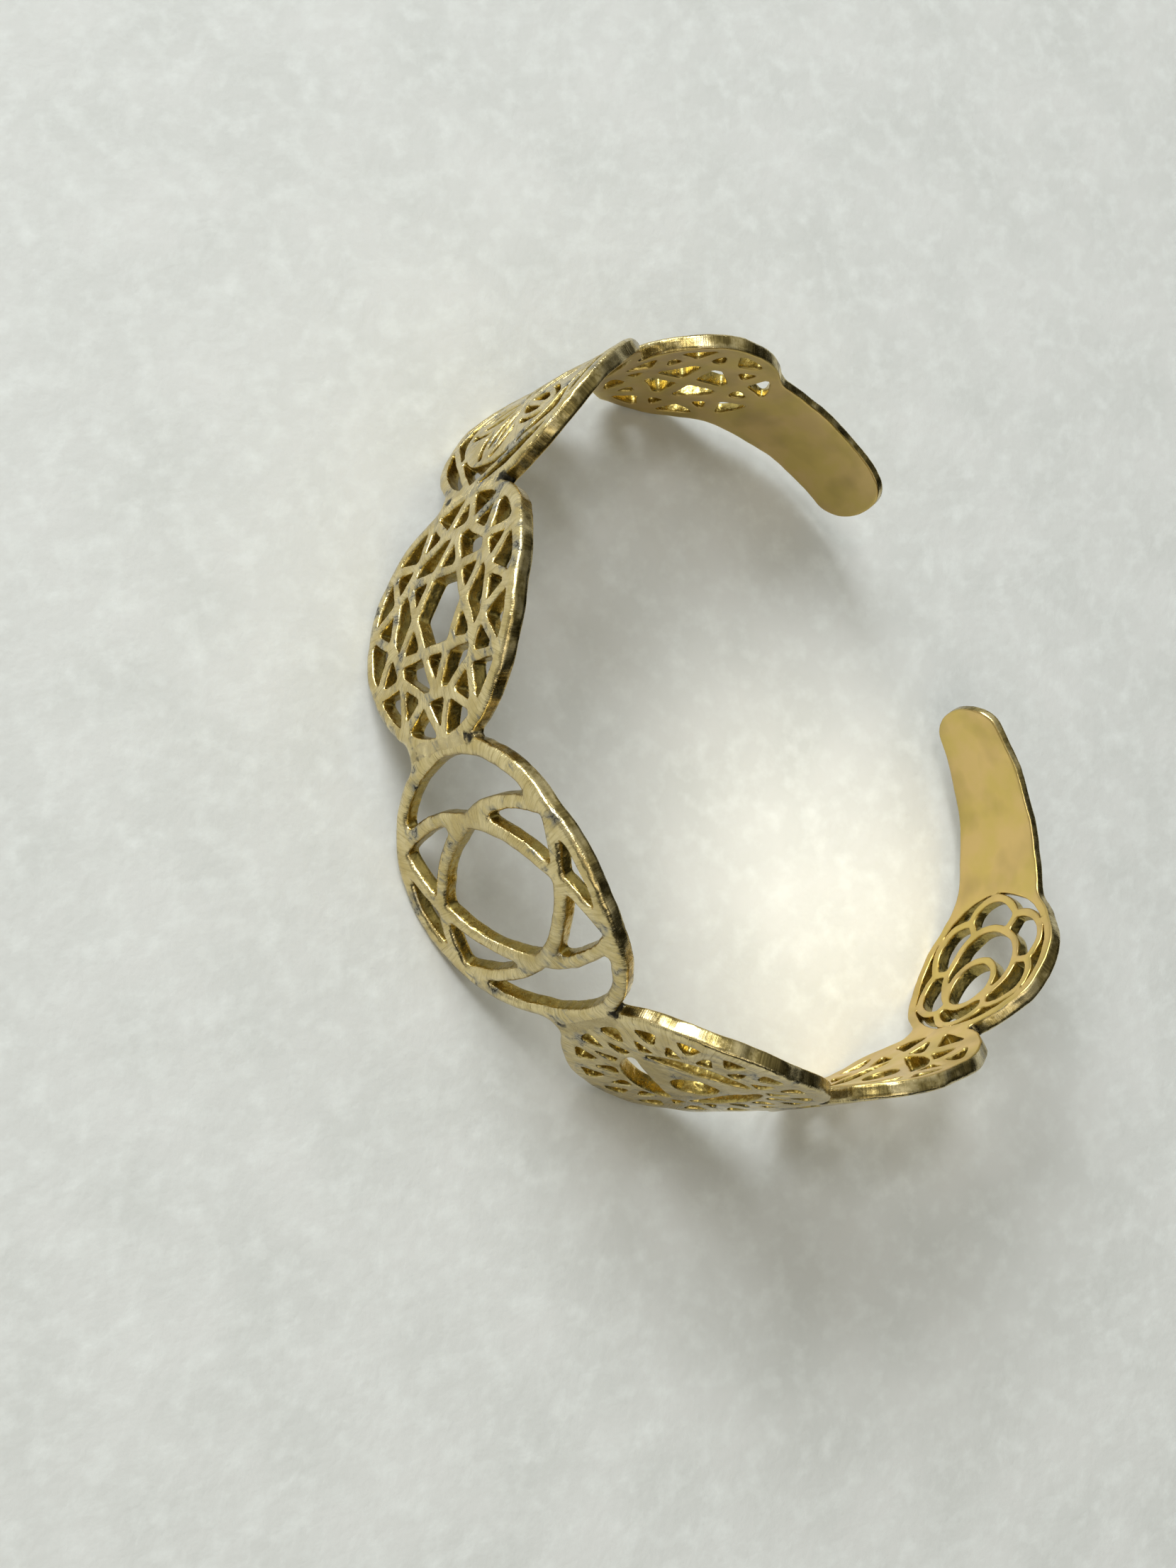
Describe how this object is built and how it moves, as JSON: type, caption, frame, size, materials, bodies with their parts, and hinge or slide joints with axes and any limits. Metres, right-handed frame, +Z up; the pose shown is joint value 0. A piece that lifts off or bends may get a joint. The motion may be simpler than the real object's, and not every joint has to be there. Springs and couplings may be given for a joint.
{
  "type": "cuff bracelet",
  "caption": "Open cuff bracelet of round pierced medallions graded in size, with two plain end tabs, lying on its side.",
  "frame": {"origin": "middle of the bounding box's bottom face, on the surface that the cuff lies on", "axes": "+Z up from the surface; the open mouth faces +X and the middle medallion is on the -X side"},
  "size_m": [0.0516, 0.0592, 0.0224],
  "materials": {
    "brass": "satin"
  },
  "bodies": {
    "root": {"cuff": "brass"}
  },
  "joints": []
}
